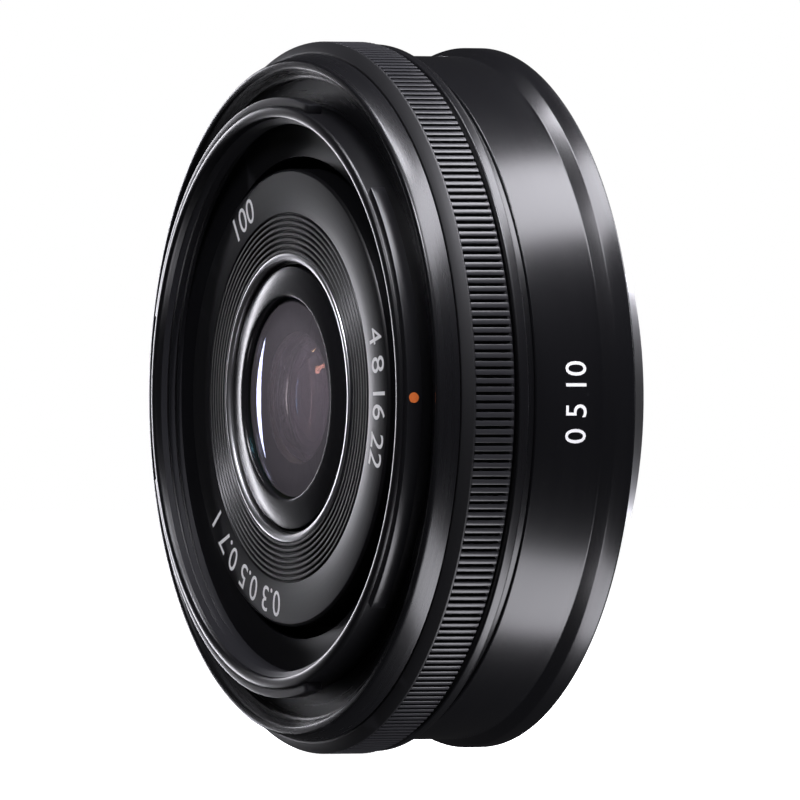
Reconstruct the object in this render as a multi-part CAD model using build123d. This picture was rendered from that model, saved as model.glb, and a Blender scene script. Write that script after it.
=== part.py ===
from build123d import *
import math
import os

# A 20 mm f/2.8 pancake lens, drawn at its real size in millimetres.
# The optical axis is Y and the front of the lens faces -Y. Up is +Z.
# The origin is the centre of the mount's flange face, where the lens meets the camera.
# Angles are counted from +X towards +Z, as seen from the front of the lens.

# ------------------------------------------------------------------ driving sizes
LENGTH = 20.4  # flange face to the front lip
THREAD_RADIUS = 24.5  # M49 filter thread, major radius
THREAD_DEPTH = 2.5
FILTER_WALL = 1.1  # wall outside the filter thread
BOWL_WIDTH = 2.9  # hollow between the filter ring and the front lip
LIP_WIDTH = 1.2
FOCUS_RING_STEP = 1.6  # how far the focus ring stands out past the front lip
BARREL_STEP = 1.2  # how far the rear barrel lies below the focus ring
SHELL_WALL = 0.7
FRAME_WALL = 1.0

MOUNT_BARREL_RADIUS = 21.6  # bayonet barrel, outside
MOUNT_THROAT_RADIUS = 20.0
MOUNT_TAB_RADIUS = 23.0
MOUNT_DEPTH = 4.7  # flange face to the end of the bayonet
MOUNT_TAB_THICKNESS = 1.4
FLANGE_THICKNESS = 1.6

FRONT_LENS_RADIUS = 9.0
SECOND_LENS_RADIUS = 6.1
FOCUS_LENS_RADIUS = 7.6
REAR_INNER_LENS_RADIUS = 8.2
REAR_LENS_RADIUS = 10.8

IRIS_OPEN_RADIUS = 4.0
BLADE_COUNT = 7
BLADE_THICKNESS = 0.05
BLADE_PITCH = 0.08
BLADE_TURN = 23.5  # degrees that a blade turns from open to the smallest stop
DRIVE_RING_TURN = 12.0  # degrees that the drive ring turns for that

FOCUS_TRAVEL = 1.6  # the focus group moves this far forward for the nearest distance

RUNNING = 0.05  # radial clearance of parts that turn or slide on each other
SLIP = 0.02  # radial clearance of lenses and pins in their seats
AIR = 0.1  # gap between faces that pass each other
EDGE = 0.2  # broken edge of a turned part
OVERRUN = 0.5  # how far a cut or a joined shape runs past the face it meets

# fasteners: head radius and shank radius
FRONT_SCREW_HEAD, FRONT_SCREW_SHANK = 0.7, 0.4
CELL_SCREW_HEAD, CELL_SCREW_SHANK = 0.8, 0.4
IRIS_SCREW_HEAD, IRIS_SCREW_SHANK = 0.7, 0.35
BOARD_SCREW_HEAD, BOARD_SCREW_SHANK = 1.0, 0.5
MOUNT_SCREW_HEAD, MOUNT_SCREW_SHANK = 1.15, 0.5
SCREW_HEAD_HEIGHT = 0.5
IRIS_HEAD_HEIGHT = 0.4
BOARD_HEAD_HEIGHT = 0.55

# ------------------------------------------------------------------ radii of the outer parts
filter_radius = THREAD_RADIUS + FILTER_WALL
bowl_radius = filter_radius + BOWL_WIDTH
lip_radius = bowl_radius + LIP_WIDTH
grip_radius = lip_radius + FOCUS_RING_STEP
barrel_radius = grip_radius - BARREL_STEP
band_radius = barrel_radius + 0.75
ring_bore = grip_radius - 1.4
track_radius = ring_bore - RUNNING
shell_bore = barrel_radius - SHELL_WALL
frame_radius = shell_bore - 1.8
frame_bore = frame_radius - FRAME_WALL
flange_radius = band_radius - 2.4
well_radius = THREAD_RADIUS - 2.0
name_bore = well_radius - 1.3
name_radius = name_bore - 1.1

# ------------------------------------------------------------------ stations along the axis
front = -LENGTH
name_front = front + 1.6
lip_front = front + 1.7
bowl_floor = front + 3.1
well_floor = front + 2.7
clamp_front = front + 4.1  # flange of the filter ring, under the bowl
band_end = front + 3.6  # rear end of the smooth front band
grip_front = front + 4.5
grip_back = front + 8.3
ring_back = grip_back + 0.45
step_front = ring_back + AIR
step_back = step_front + 0.95
barrel_front = step_back + 1.1
flare_front = -2.9
flare_back = -2.0
web_front = front + 5.8
web_back = web_front + 1.0
track_front = front + 4.3
track_back = grip_back - 0.9

# ------------------------------------------------------------------ helpers


def turned(*points):
    """A solid turned about the optical axis from a closed outline of (radius, station) points."""
    return revolve(make_face(Polyline(*points, close=True)), Axis.Y)


def tube(inner, outer, start, end):
    """A plain ring about the optical axis."""
    return turned((inner, start), (outer, start), (outer, end), (inner, end))


def disc(outer, start, end):
    """A solid disc about the optical axis."""
    return turned((0, start), (outer, start), (outer, end), (0, end))


def plate(outline, start, end):
    """A flat outline, drawn as seen from the front, given thickness along the axis."""
    return extrude(Plane((0, end, 0), x_dir=(1, 0, 0), z_dir=(0, -1, 0)) * outline, amount=end - start)


def at(radius, angle):
    """The place at a radius and an angle in the front view."""
    turn = math.radians(angle)
    return (radius * math.cos(turn), radius * math.sin(turn))


def rod(place, radius, start, end):
    """A round rod parallel to the optical axis."""
    return plate(Pos(*place) * Circle(radius), start, end)


def bar(first, second, half_width):
    """A flat bar with round ends that joins two places."""
    ends = [Pos(*place) * Circle(half_width) for place in (first, second)]
    return make_hull([*ends[0].edges(), *ends[1].edges()])


def sector(inner, outer, first, last):
    """A flat ring sector between two angles."""
    middle = (first + last) / 2
    outline = [
        Line(at(inner, first), at(outer, first)),
        ThreePointArc(at(outer, first), at(outer, middle), at(outer, last)),
        Line(at(outer, last), at(inner, last)),
        ThreePointArc(at(inner, last), at(inner, middle), at(inner, first)),
    ]
    return make_face(outline)


def cone_screw(place, head_radius, shank_radius, head_face, head_depth, end):
    """A countersunk screw whose flat head faces +Y."""
    seat = head_face - head_depth
    outline = ((0, head_face), (head_radius, head_face), (shank_radius, seat), (shank_radius, end), (0, end))
    return Pos(place[0], 0, place[1]) * turned(*outline)


def cap_screw(place, head_radius, shank_radius, head_face, seat, end):
    """A cheese-head screw with a cross slot, its head at head_face and its tip at end."""
    head = rod(place, head_radius, min(head_face, seat), max(head_face, seat))
    shank = rod(place, shank_radius, min(seat, end), max(seat, end))
    depth = 0.4 * (seat - head_face)
    slot = Rectangle(1.3 * head_radius, 0.3 * head_radius) + Rectangle(0.3 * head_radius, 1.3 * head_radius)
    cut = plate(Pos(*place) * slot, min(head_face, head_face + depth), max(head_face, head_face + depth))
    return head + shank - cut


def screws(place, angles, head_radius, shank_radius, head_face, seat, end):
    """A ring of like cheese-head screws."""
    return [cap_screw(at(place, angle), head_radius, shank_radius, head_face, seat, end) for angle in angles]


def save(shape, name):
    """Writes one sub-part."""
    solids = shape if isinstance(shape, list) else [shape]
    solids = [solid for item in solids for solid in item.solids()]
    export_step(solids[0] if len(solids) == 1 else Compound(children=solids), f"parts/{name}.step")


os.makedirs("parts", exist_ok=True)

# ------------------------------------------------------------------ front of the lens
LUG_HEIGHT = 0.8
LUG_SPAN = 88
LUG_ANGLES = (0, 120, 240)
INDEX_RADIUS = 0.45
FRONT_SCREW_ANGLES = (30, 150, 270)
clamp_radius = filter_radius + 2 * FRONT_SCREW_HEAD + EDGE
clamp_back = clamp_front + 1.0
front_screw_place = filter_radius + FRONT_SCREW_HEAD + RUNNING
index_station = front + 1.0


def filter_ring():
    """The filter mount: a bored ring with a well below its thread, a clamp flange and three outer lugs."""
    lip = 0.25
    ring = turned(
        (THREAD_RADIUS, front + lip),
        (THREAD_RADIUS + lip, front),
        (filter_radius - lip, front),
        (filter_radius, front + lip),
        (filter_radius, clamp_front),
        (clamp_radius, clamp_front),
        (clamp_radius, clamp_back),
        (filter_radius, clamp_back),
        (filter_radius, web_front),
        (well_radius, web_front),
        (well_radius, well_floor + 0.8),
        (name_bore, well_floor + 0.8),
        (name_bore, well_floor),
        (well_radius, well_floor),
        (THREAD_RADIUS, front + THREAD_DEPTH),
    )
    for angle in LUG_ANGLES:
        first, last = angle - LUG_SPAN / 2, angle + LUG_SPAN / 2
        lug = sector(filter_radius - 0.1, filter_radius + LUG_HEIGHT, first, last)
        ring += plate(lug, front + 0.4, front + 1.8)
    for angle in FRONT_SCREW_ANGLES:
        place = at(front_screw_place, angle)
        ring -= rod(place, FRONT_SCREW_HEAD + SLIP, clamp_front, clamp_front + SCREW_HEAD_HEIGHT)
        ring -= rod(place, FRONT_SCREW_SHANK + SLIP, clamp_front, clamp_back)
    return ring - index_pocket(SLIP)


def index_pocket(clearance):
    """The round index insert in the first lug, which shows where an add-on lens locks."""
    face = filter_radius + LUG_HEIGHT
    insert = Plane((face - 0.5, index_station, 0), z_dir=(1, 0, 0)) * Circle(INDEX_RADIUS + clearance)
    return extrude(insert, amount=0.5)


def front_bezel():
    """The bowl around the filter ring, with the front lip and the smooth band behind it."""
    back = track_front
    floor_back = clamp_front
    return turned(
        (filter_radius + SLIP, bowl_floor),
        (bowl_radius - 0.3, bowl_floor),
        (bowl_radius, bowl_floor - 0.3),
        (bowl_radius + 0.3, lip_front + 0.15),
        (bowl_radius + 0.5, lip_front),
        (lip_radius - 0.2, lip_front),
        (lip_radius, lip_front + 0.2),
        (lip_radius + 0.55, band_end),
        (track_radius - 0.3, band_end),
        (track_radius - 0.3, back),
        (clamp_radius + 0.2, back),
        (clamp_radius + 0.2, floor_back),
        (filter_radius + SLIP, floor_back),
    )


def focus_ring():
    """The grip ring that the fingers turn: a matte chamfer, the grip band and a short rear skirt."""
    skirt = ring_bore + 0.5
    return turned(
        (ring_bore, band_end + AIR),
        (skirt, band_end + AIR),
        (grip_radius, grip_front),
        (grip_radius, grip_back),
        (skirt, grip_back),
        (skirt, ring_back),
        (ring_bore, ring_back),
    )


comb_radius = ring_bore - 1.4
COMB_TEETH = 60
COMB_WALL = 0.3
COMB_HUB = 0.5
comb_front = track_back + AIR
comb_back = comb_front + 2.0


def encoder_comb():
    """The toothed skirt in the focus ring, whose slots the light sensors count."""
    inner = comb_radius - COMB_WALL
    hub = tube(inner, ring_bore, comb_front, comb_front + COMB_HUB)
    skirt = tube(inner, comb_radius, comb_front, comb_back)
    pitch = 360 / COMB_TEETH
    slot_front = comb_front + COMB_HUB + 0.4
    for i in range(COMB_TEETH):
        slot = sector(comb_radius - 0.5, comb_radius + 0.2, pitch * i, pitch * (i + 0.5))
        skirt -= plate(slot, slot_front, comb_back + OVERRUN)
    return hub + skirt


def step_ring():
    """The thin trim ring that closes the gap behind the focus ring."""
    outer = barrel_radius + 1.0
    return turned(
        (shell_bore + 0.4, step_front),
        (outer - 0.1, step_front),
        (outer, step_front + 0.1),
        (outer, step_back - 0.1),
        (outer - 0.1, step_back),
        (shell_bore + 0.4, step_back),
    )


MARK_STATION = -4.0
MARK_RADIUS = 0.7
ledge_front = -2.4


def rear_barrel():
    """The rear outer shell, flared to the band that meets the camera."""
    shell = turned(
        (shell_bore, step_front),
        (shell_bore + 0.4, step_front),
        (shell_bore + 0.4, barrel_front),
        (barrel_radius - 0.15, barrel_front),
        (barrel_radius, barrel_front + 0.15),
        (barrel_radius, flare_front),
        (band_radius, flare_back),
        (band_radius, -0.35),
        (band_radius - 0.25, -0.1),
        (flange_radius + 0.1, -0.1),
        (flange_radius + 0.1, -FLANGE_THICKNESS),
        (frame_radius + 0.1, -FLANGE_THICKNESS),
        (frame_radius + 0.1, ledge_front),
        (shell_bore, ledge_front),
    )
    return shell - mount_mark(SLIP)


def mount_mark(clearance=0.0):
    """The white dot on top of the barrel that lines up with the camera's own dot."""
    mark = Plane((0, MARK_STATION, barrel_radius - 0.35), z_dir=(0, 0, 1)) * Circle(MARK_RADIUS + clearance)
    return extrude(mark, amount=0.35 + clearance)


# ------------------------------------------------------------------ name ring and front lens group
TRIM_WIDTH = 0.75
GROOVE_COUNT = 7
GROOVE_PITCH = 0.5
GROOVE_DEPTH = 0.14
CELL_SCREW_ANGLES = (90, 210, 330)
SEAT_WALL = 1.0  # wall of the front cell round the first lens
retainer_radius = FRONT_LENS_RADIUS + SEAT_WALL + 1.5
trim_radius = retainer_radius + 0.5 + TRIM_WIDTH
cell_web_bore = SECOND_LENS_RADIUS + 4.5
cell_screw_place = max(retainer_radius, cell_web_bore) + CELL_SCREW_HEAD + 1.0
cell_flange_radius = cell_screw_place + 1.7
lens_1_front = name_front + 0.4  # front edge of the first lens
lens_1_back = lens_1_front + 2.2
lens_2_front = lens_1_back + 0.6
lens_2_back = lens_2_front + 1.3
cell_flange_front = web_front - 0.8
trim_front = name_front - 0.2


def name_ring():
    """The front plate between the filter well and the first lens, with its skirt down to the frame."""
    shelf = trim_radius - 1.0
    plate_back = name_front + 0.9
    ring = turned(
        (trim_radius, trim_front + 0.05),
        (name_radius - 0.2, name_front),
        (name_radius, name_front + 0.2),
        (name_radius, web_front),
        (name_radius - 0.8, web_front),
        (name_radius - 0.8, plate_back),
        (shelf, plate_back),
        (shelf, trim_front + 0.7),
        (trim_radius, trim_front + 0.7),
    )
    for i in range(GROOVE_COUNT):
        inner = trim_radius + 0.25 + GROOVE_PITCH * i
        top = trim_front - 0.1
        floor = trim_front + 0.1 + GROOVE_DEPTH
        ring -= turned((inner, top), (inner + 0.3, top), (inner + 0.22, floor), (inner + 0.08, floor))
    return ring


def trim_ring():
    """The bright ring round the first lens."""
    inner = trim_radius - TRIM_WIDTH
    return turned(
        (inner, trim_front + 0.1),
        (inner + 0.2, trim_front - 0.05),
        (trim_radius - 0.2, trim_front - 0.05),
        (trim_radius, trim_front + 0.1),
        (trim_radius, trim_front + 0.7),
        (inner, trim_front + 0.7),
    )


def front_retainer():
    """The coned ring that screws into the front cell and holds the first lens."""
    inner = FRONT_LENS_RADIUS - 0.1
    return turned(
        (inner, lens_1_front),
        (inner, lens_1_front - 0.55),
        (inner + 0.3, lens_1_front - 0.7),
        (retainer_radius, lens_1_front - 0.3),
        (retainer_radius, lens_1_front + 0.25),
        (FRONT_LENS_RADIUS + SEAT_WALL, lens_1_front + 0.25),
        (FRONT_LENS_RADIUS + SEAT_WALL, lens_1_front + 0.9),
        (FRONT_LENS_RADIUS + SLIP, lens_1_front + 0.9),
        (FRONT_LENS_RADIUS + SLIP, lens_1_front),
    )


def front_cell():
    """The fixed cell of the first two lenses, bolted to the front of the frame."""
    cell = turned(
        (FRONT_LENS_RADIUS + SEAT_WALL, lens_1_front + 0.25),
        (retainer_radius, lens_1_front + 0.25),
        (retainer_radius, cell_flange_front),
        (cell_flange_radius, cell_flange_front),
        (cell_flange_radius, web_front),
        (cell_web_bore - RUNNING, web_front),
        (cell_web_bore - RUNNING, web_back),
        (SECOND_LENS_RADIUS + SLIP, web_back),
        (SECOND_LENS_RADIUS + SLIP, lens_2_front),
        (SECOND_LENS_RADIUS - 0.6, lens_2_front),
        (SECOND_LENS_RADIUS - 0.6, lens_1_back),
        (FRONT_LENS_RADIUS + SLIP, lens_1_back),
        (FRONT_LENS_RADIUS + SLIP, lens_1_front + 0.9),
        (FRONT_LENS_RADIUS + SEAT_WALL, lens_1_front + 0.9),
    )
    for angle in CELL_SCREW_ANGLES:
        cell -= rod(at(cell_screw_place, angle), CELL_SCREW_SHANK + SLIP, cell_flange_front, web_front)
    return cell


def second_retainer():
    """The plain ring behind the second lens."""
    return tube(SECOND_LENS_RADIUS - 0.8, SECOND_LENS_RADIUS + SLIP, lens_2_back, web_back)


def surface(vertex, edge, radius, fourth=0.0):
    """A half lens surface from the axis to its edge; fourth bends it away from a plain sphere."""
    sag = edge - vertex
    bend = (radius**2 + sag**2) / (2 * sag)
    points = []
    for i in range(7):
        r = radius * i / 6
        sphere = bend - math.copysign(math.sqrt(bend**2 - r**2), bend)
        points.append((r, vertex + sphere + fourth * (r / radius) ** 2 * (1 - (r / radius) ** 2)))
    return Spline(*points, tangents=[(1, 0), (points[-1][0] - points[-2][0], points[-1][1] - points[-2][1])])


def lens(radius, front_side, back_side):
    """One element. Each side is (vertex, edge, clear radius, fourth-order bend)."""
    first = surface(*front_side)
    last = surface(*back_side)
    outline = [
        first,
        Polyline(first @ 1, (radius, front_side[1]), (radius, back_side[1]), last @ 1),
        last,
        Line(first @ 0, last @ 0),
    ]
    return revolve(make_face(outline), Axis.Y)


# ------------------------------------------------------------------ frame
ROD_RADIUS = 0.6
ROD_SEAT = 0.6  # depth of the rods' seats in the frame
MAIN_ROD_ANGLE = 150
SECOND_ROD_ANGLE = 330
POST_PLACE = 21.0
POST_ANGLES = (60, 180, 300)
POST_RADIUS = 1.3
BOSS_FRONT = -6.2
TAPPED_FRONT = -5.6  # blind end of the mount screws' tapped holes
POST_TAP_DEPTH = 3.0
MOUNT_SCREW_ANGLES = (45, 135, 225, 315)
BOSS_RADIUS = 1.9
SENSOR_ANGLES = (12, 39)
SENSOR_SPAN = 6
mount_screw_place = frame_bore - 1.7
rear_plate_front = -4.4
rear_plate_back = -3.6
board_front = -3.0
board_back = -2.4
rod_front = web_back - ROD_SEAT
rod_back = rear_plate_front + 0.4
rod_place = cell_screw_place + CELL_SCREW_SHANK + ROD_RADIUS + 1.2  # clear of the cell screws
main_rod = at(rod_place, MAIN_ROD_ANGLE)
second_rod = at(rod_place, SECOND_ROD_ANGLE)
sensor_back = comb_back + 0.6


def main_frame():
    """The fixed chassis: a web across the front, a round wall, the ring's track, bosses and posts."""
    frame = turned(
        (cell_web_bore, web_front),
        (frame_radius, web_front),
        (frame_radius, track_front),
        (track_radius, track_front),
        (track_radius, track_back),
        (frame_radius, track_back),
        (frame_radius, ledge_front - 0.8),
        (shell_bore - 0.3, ledge_front - 0.8),
        (shell_bore - 0.3, ledge_front),
        (frame_radius, ledge_front),
        (frame_radius, -FLANGE_THICKNESS),
        (frame_bore, -FLANGE_THICKNESS),
        (frame_bore, web_back),
        (cell_web_bore, web_back),
    )
    raised = (
        (mount_screw_place, MOUNT_SCREW_ANGLES, BOSS_RADIUS, BOSS_FRONT, -FLANGE_THICKNESS),
        (POST_PLACE, POST_ANGLES, POST_RADIUS, web_back - EDGE, rear_plate_front),
    )
    for place, angles, radius, start, end in raised:
        frame += [rod(at(place, angle), radius, start, end) for angle in angles]
    shelves = [
        plate(
            sector(frame_radius - 0.2, comb_radius + 0.8, angle - SENSOR_SPAN / 2, angle + SENSOR_SPAN / 2),
            sensor_back,
            sensor_back + 0.6,
        )
        for angle in SENSOR_ANGLES
    ]
    frame += shelves
    tapped = (
        (mount_screw_place, MOUNT_SCREW_ANGLES, MOUNT_SCREW_SHANK, TAPPED_FRONT, -FLANGE_THICKNESS),
        (POST_PLACE, POST_ANGLES, BOARD_SCREW_SHANK, rear_plate_front - POST_TAP_DEPTH, rear_plate_front),
        (cell_screw_place, CELL_SCREW_ANGLES, CELL_SCREW_SHANK, web_front, web_back),
        (front_screw_place, FRONT_SCREW_ANGLES, FRONT_SCREW_SHANK, web_front, web_back),
        (iris_ear_place, IRIS_EAR_ANGLES, IRIS_SCREW_SHANK, web_back - IRIS_TAP_DEPTH, web_back),
    )
    for place, angles, radius, start, end in tapped:
        frame -= [rod(at(place, angle), radius, start, end) for angle in angles]
    frame -= [rod(place, ROD_RADIUS, rod_front, web_back) for place in (main_rod, second_rod)]
    return frame


def focus_ring_sensors():
    """Two fork-shaped light sensors that straddle the encoder comb."""
    sensors = []
    for angle in SENSOR_ANGLES:
        first = angle - SENSOR_SPAN / 2 + 0.5
        last = angle + SENSOR_SPAN / 2 - 0.5
        base = plate(sector(frame_radius, comb_radius + 0.75, first, last), comb_back + 0.1, sensor_back)
        slot = plate(
            sector(comb_radius - 0.45, comb_radius + 0.15, first - 1, last + 1), comb_front, comb_back + 0.25
        )
        legs = plate(sector(frame_radius, comb_radius + 0.75, first, last), comb_front + 0.9, comb_back + 0.1)
        sensors.append(base + legs - slot)
    return sensors


# ------------------------------------------------------------------ iris
PIVOT_PLACE = 8.6
PIN_RADIUS = 0.3
DRIVE_ARM = 2.0  # from a blade's pivot to its drive pin
BLADE_SPAN = 125
BLADE_OUTER = 7.9
GEAR_MODULE = 0.25
RING_TEETH = 96  # of a whole circle; only a sector is cut
PINION_TEETH = 10
BACKLASH = 0.03  # how much thinner each tooth is than half its pitch
PRESSURE_ANGLE = math.radians(20)
MOTOR_RADIUS = 3.0
MOTOR_SHAFT_RADIUS = 0.4
IRIS_MOTOR_LENGTH = 5.5
FOCUS_MOTOR_LENGTH = 4.9
IRIS_MOTOR_ANGLE = 270
IRIS_EAR_ANGLES = (30, 110, 190)
IRIS_EAR_RADIUS = 1.0
IRIS_TAP_DEPTH = 0.7
IRIS_WALL = 0.8
PLATE_THICKNESS = 0.4  # iris base, drive ring and cover
ring_pitch_radius = GEAR_MODULE * RING_TEETH / 2
pinion_pitch_radius = GEAR_MODULE * PINION_TEETH / 2
ring_tip_radius = ring_pitch_radius + 0.6 * GEAR_MODULE
ring_root_radius = ring_pitch_radius - 1.2 * GEAR_MODULE
pinion_tip_radius = pinion_pitch_radius + GEAR_MODULE
pinion_place = at(ring_pitch_radius + pinion_pitch_radius, IRIS_MOTOR_ANGLE)
iris_rim = ring_tip_radius + 0.45
iris_radius = iris_rim + IRIS_WALL
iris_ear_place = iris_radius + EDGE
base_front = web_back
base_back = base_front + PLATE_THICKNESS
blades_front = base_back + RUNNING
drive_front = blades_front + BLADE_PITCH * (BLADE_COUNT - 1) + BLADE_THICKNESS + 0.07
drive_back = drive_front + PLATE_THICKNESS
cover_front = drive_back + RUNNING
cover_back = cover_front + PLATE_THICKNESS
hub_radius = PIVOT_PLACE - 1.25
window_radius = pinion_tip_radius + AIR
iris_motor_back = cover_back + IRIS_MOTOR_LENGTH


def iris_outline(radius):
    """The plate outline that the iris base and cover share: a disc, three ears and the motor's pad."""
    outline = Circle(radius) + Pos(*pinion_place) * Circle(MOTOR_RADIUS + 0.4)
    return outline + [Pos(*at(iris_ear_place, angle)) * Circle(IRIS_EAR_RADIUS) for angle in IRIS_EAR_ANGLES]


def iris_screw_holes(start, end):
    """The clearance holes of the iris screws through one plate."""
    return [rod(at(iris_ear_place, angle), IRIS_SCREW_SHANK + SLIP, start, end) for angle in IRIS_EAR_ANGLES]


def pinion_window():
    """The round space that the pinion turns in."""
    return rod(pinion_place, window_radius, base_back, cover_back)


def iris_base():
    """The front plate of the iris, with the hole of the full aperture and the blades' pivot holes."""
    base = plate(iris_outline(iris_radius), base_front, cover_front) - disc(iris_rim, base_back, cover_front)
    base -= disc(IRIS_OPEN_RADIUS, base_front, base_back)
    base -= pinion_window()
    for k in range(BLADE_COUNT):
        pivot = at(PIVOT_PLACE, 360 * k / BLADE_COUNT)
        base -= rod(pivot, PIN_RADIUS + SLIP, base_front + 0.1, base_back)
    return base - iris_screw_holes(base_front, cover_front)


def iris_cover():
    """The rear plate of the iris, whose hub the drive ring turns on."""
    cover = plate(iris_outline(iris_radius), cover_front, cover_back)
    opening = IRIS_OPEN_RADIUS + 0.2
    cover += tube(opening, hub_radius, drive_front, cover_front)
    cover -= disc(opening, cover_front, cover_back)
    cover -= pinion_window()
    return cover - iris_screw_holes(cover_front, cover_back)


def drive_pin_at(blade_turn):
    """Where the first blade's drive pin is once the blade has turned, in the front view."""
    swing = math.radians(270 + blade_turn)
    return (PIVOT_PLACE + DRIVE_ARM * math.cos(swing), DRIVE_ARM * math.sin(swing))


def iris_blade(k):
    """One blade, a thin sickle with a pivot pin to the front and a drive pin to the rear."""
    start = blades_front + BLADE_PITCH * k
    end = start + BLADE_THICKNESS
    pivot = (PIVOT_PLACE, 0)
    leaf = sector(IRIS_OPEN_RADIUS + 0.05, BLADE_OUTER, 0, BLADE_SPAN)
    leaf += bar(pivot, at(BLADE_OUTER - 1.0, 6), 0.75)
    leaf += bar(pivot, drive_pin_at(0), 0.6)
    blade = plate(leaf, start, end)
    blade += rod(pivot, PIN_RADIUS, base_front + 0.15, end)
    blade += rod(drive_pin_at(0), PIN_RADIUS, start, drive_back - 0.05)
    return Rot(0, -360 * k / BLADE_COUNT, 0) * blade


def drive_slot():
    """The first blade's cam slot: the drive pin's path as the ring sees it, so both turn in one ratio."""
    steps = 6
    path = []
    for i in range(-1, steps + 2):
        share = i / steps
        x, z = drive_pin_at(BLADE_TURN * share)
        back = -math.radians(DRIVE_RING_TURN * share)
        path.append((x * math.cos(back) - z * math.sin(back), x * math.sin(back) + z * math.cos(back)))
    half = PIN_RADIUS + 0.04
    slot = [bar(path[i], path[i + 1], half) for i in range(len(path) - 1)]
    return plate(Sketch() + slot, drive_front, drive_back)


def gear_tooth(teeth, tip, root, thinning):
    """One involute tooth on +X, thinned so that the mesh has some play."""
    pitch_radius = GEAR_MODULE * teeth / 2
    base_radius = pitch_radius * math.cos(PRESSURE_ANGLE)
    involute = math.tan(PRESSURE_ANGLE) - PRESSURE_ANGLE
    half_at_pitch = math.pi / (2 * teeth) - thinning / (2 * pitch_radius)
    flank = []
    for i in range(5):
        low = max(base_radius, root)
        r = low + (tip - low) * i / 4
        pressure = math.acos(min(1.0, base_radius / r))
        half = half_at_pitch + involute - (math.tan(pressure) - pressure)
        flank.append((r, half))
    flank.insert(0, (root - 0.1, flank[0][1]))
    upper = [(r * math.cos(a), r * math.sin(a)) for r, a in flank]
    lower = [(x, -y) for x, y in reversed(upper)]
    return make_face(Polyline(*upper, *lower, close=True))


def iris_drive_ring():
    """The ring that turns all seven blades, with a toothed sector for the motor's pinion."""
    first = IRIS_MOTOR_ANGLE - 6 * 360 / RING_TEETH
    last = IRIS_MOTOR_ANGLE + 3 * 360 / RING_TEETH
    rim = PIVOT_PLACE + 2.2
    outline = Circle(rim) - Circle(hub_radius + RUNNING)
    outline += sector(rim - OVERRUN, ring_root_radius, first - 2, last + 2)
    tooth = gear_tooth(RING_TEETH, ring_tip_radius, ring_root_radius, BACKLASH)
    outline += [Rot(0, 0, IRIS_MOTOR_ANGLE + 360 * i / RING_TEETH) * tooth for i in range(-6, 4)]
    ring = plate(outline, drive_front, drive_back)
    return ring - [Rot(0, -360 * k / BLADE_COUNT, 0) * drive_slot() for k in range(BLADE_COUNT)]


def iris_pinion():
    """The motor's pinion and its shaft; a gap between two teeth faces the drive ring at rest."""
    root = pinion_pitch_radius - 0.8 * GEAR_MODULE
    tooth = gear_tooth(PINION_TEETH, pinion_tip_radius, root, BACKLASH)
    pitch = 360 / PINION_TEETH
    first = IRIS_MOTOR_ANGLE + 180 + pitch / 2
    outline = Circle(root) + [Rot(0, 0, first + pitch * i) * tooth for i in range(PINION_TEETH)]
    gear = plate(Pos(*pinion_place) * outline, drive_front - 0.1, drive_back + 0.1)
    return gear + rod(pinion_place, MOTOR_SHAFT_RADIUS, drive_front, cover_back + 2.0)


def motor(place, start, end):
    """A small stepper motor can with a rolled edge and a bored front."""
    can = rod(place, MOTOR_RADIUS, start, end)
    can -= rod(place, MOTOR_SHAFT_RADIUS + RUNNING, start, start + 2.2)
    groove = [rod(place, radius, start + 0.4, start + 0.6) for radius in (MOTOR_RADIUS, MOTOR_RADIUS - 0.12)]
    return can - (groove[0] - groove[1])


# ------------------------------------------------------------------ focus group and its drive
SCREW_ANGLE = 128
screw_place = iris_radius + MOTOR_RADIUS + 1.1
SCREW_RADIUS = 0.75
SCREW_TIP_RADIUS = 0.3
NUT_RADIUS = 1.6
SLEEVE_RADIUS = 1.3
BRACKET_THICKNESS = 0.3
BRACKET_WIDTH = 2.4
focus_cell_radius = FOCUS_LENS_RADIUS + 1.5
focus_front = cover_back + FOCUS_TRAVEL + 0.5
focus_back = rear_plate_front - 0.4
lens_3_front = focus_front + 0.9
lens_3_back = lens_3_front + 1.0
lens_4_front = lens_3_back + 0.7
lens_4_back = lens_4_front + 0.8
screw_centre = at(screw_place, SCREW_ANGLE)
motor_back = web_back + FOCUS_MOTOR_LENGTH
bracket_back = motor_back + BRACKET_THICKNESS
bracket_end = rear_plate_front - 0.15
screw_tip = bracket_end - BRACKET_THICKNESS
nut_front = bracket_back + FOCUS_TRAVEL + 0.3
nut_back = nut_front + 1.2
arm_front = focus_front + 1.4
arm_back = arm_front + 1.2


def focus_cell():
    """The sliding cell of the third and fourth lenses, with a long sleeve, a fork and the nut's arm."""
    cell = turned(
        (FOCUS_LENS_RADIUS - 0.5, focus_front + 0.3),
        (FOCUS_LENS_RADIUS - 0.1, focus_front),
        (focus_cell_radius, focus_front),
        (focus_cell_radius, focus_back),
        (FOCUS_LENS_RADIUS + SLIP, focus_back),
        (FOCUS_LENS_RADIUS + SLIP, lens_3_front),
        (FOCUS_LENS_RADIUS - 0.5, lens_3_front),
    )
    arms = bar(at(focus_cell_radius - 0.8, MAIN_ROD_ANGLE), main_rod, 1.2)
    arms += bar(at(focus_cell_radius - 0.8, SECOND_ROD_ANGLE), second_rod, 1.2)
    cell += plate(arms, arm_front, arm_back) - disc(focus_cell_radius - 0.3, focus_front, focus_back)
    cell += plate(bar(main_rod, screw_centre, 0.9), nut_front, nut_front + 0.9)
    cell += rod(main_rod, SLEEVE_RADIUS, focus_front + 0.3, focus_back)
    cell -= rod(main_rod, ROD_RADIUS + RUNNING, focus_front, focus_back)
    fork = bar(second_rod, at(rod_place + 2, SECOND_ROD_ANGLE), ROD_RADIUS + RUNNING)
    cell -= plate(fork, focus_front, focus_back)
    return cell - rod(screw_centre, NUT_RADIUS, focus_front, focus_back)


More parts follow.
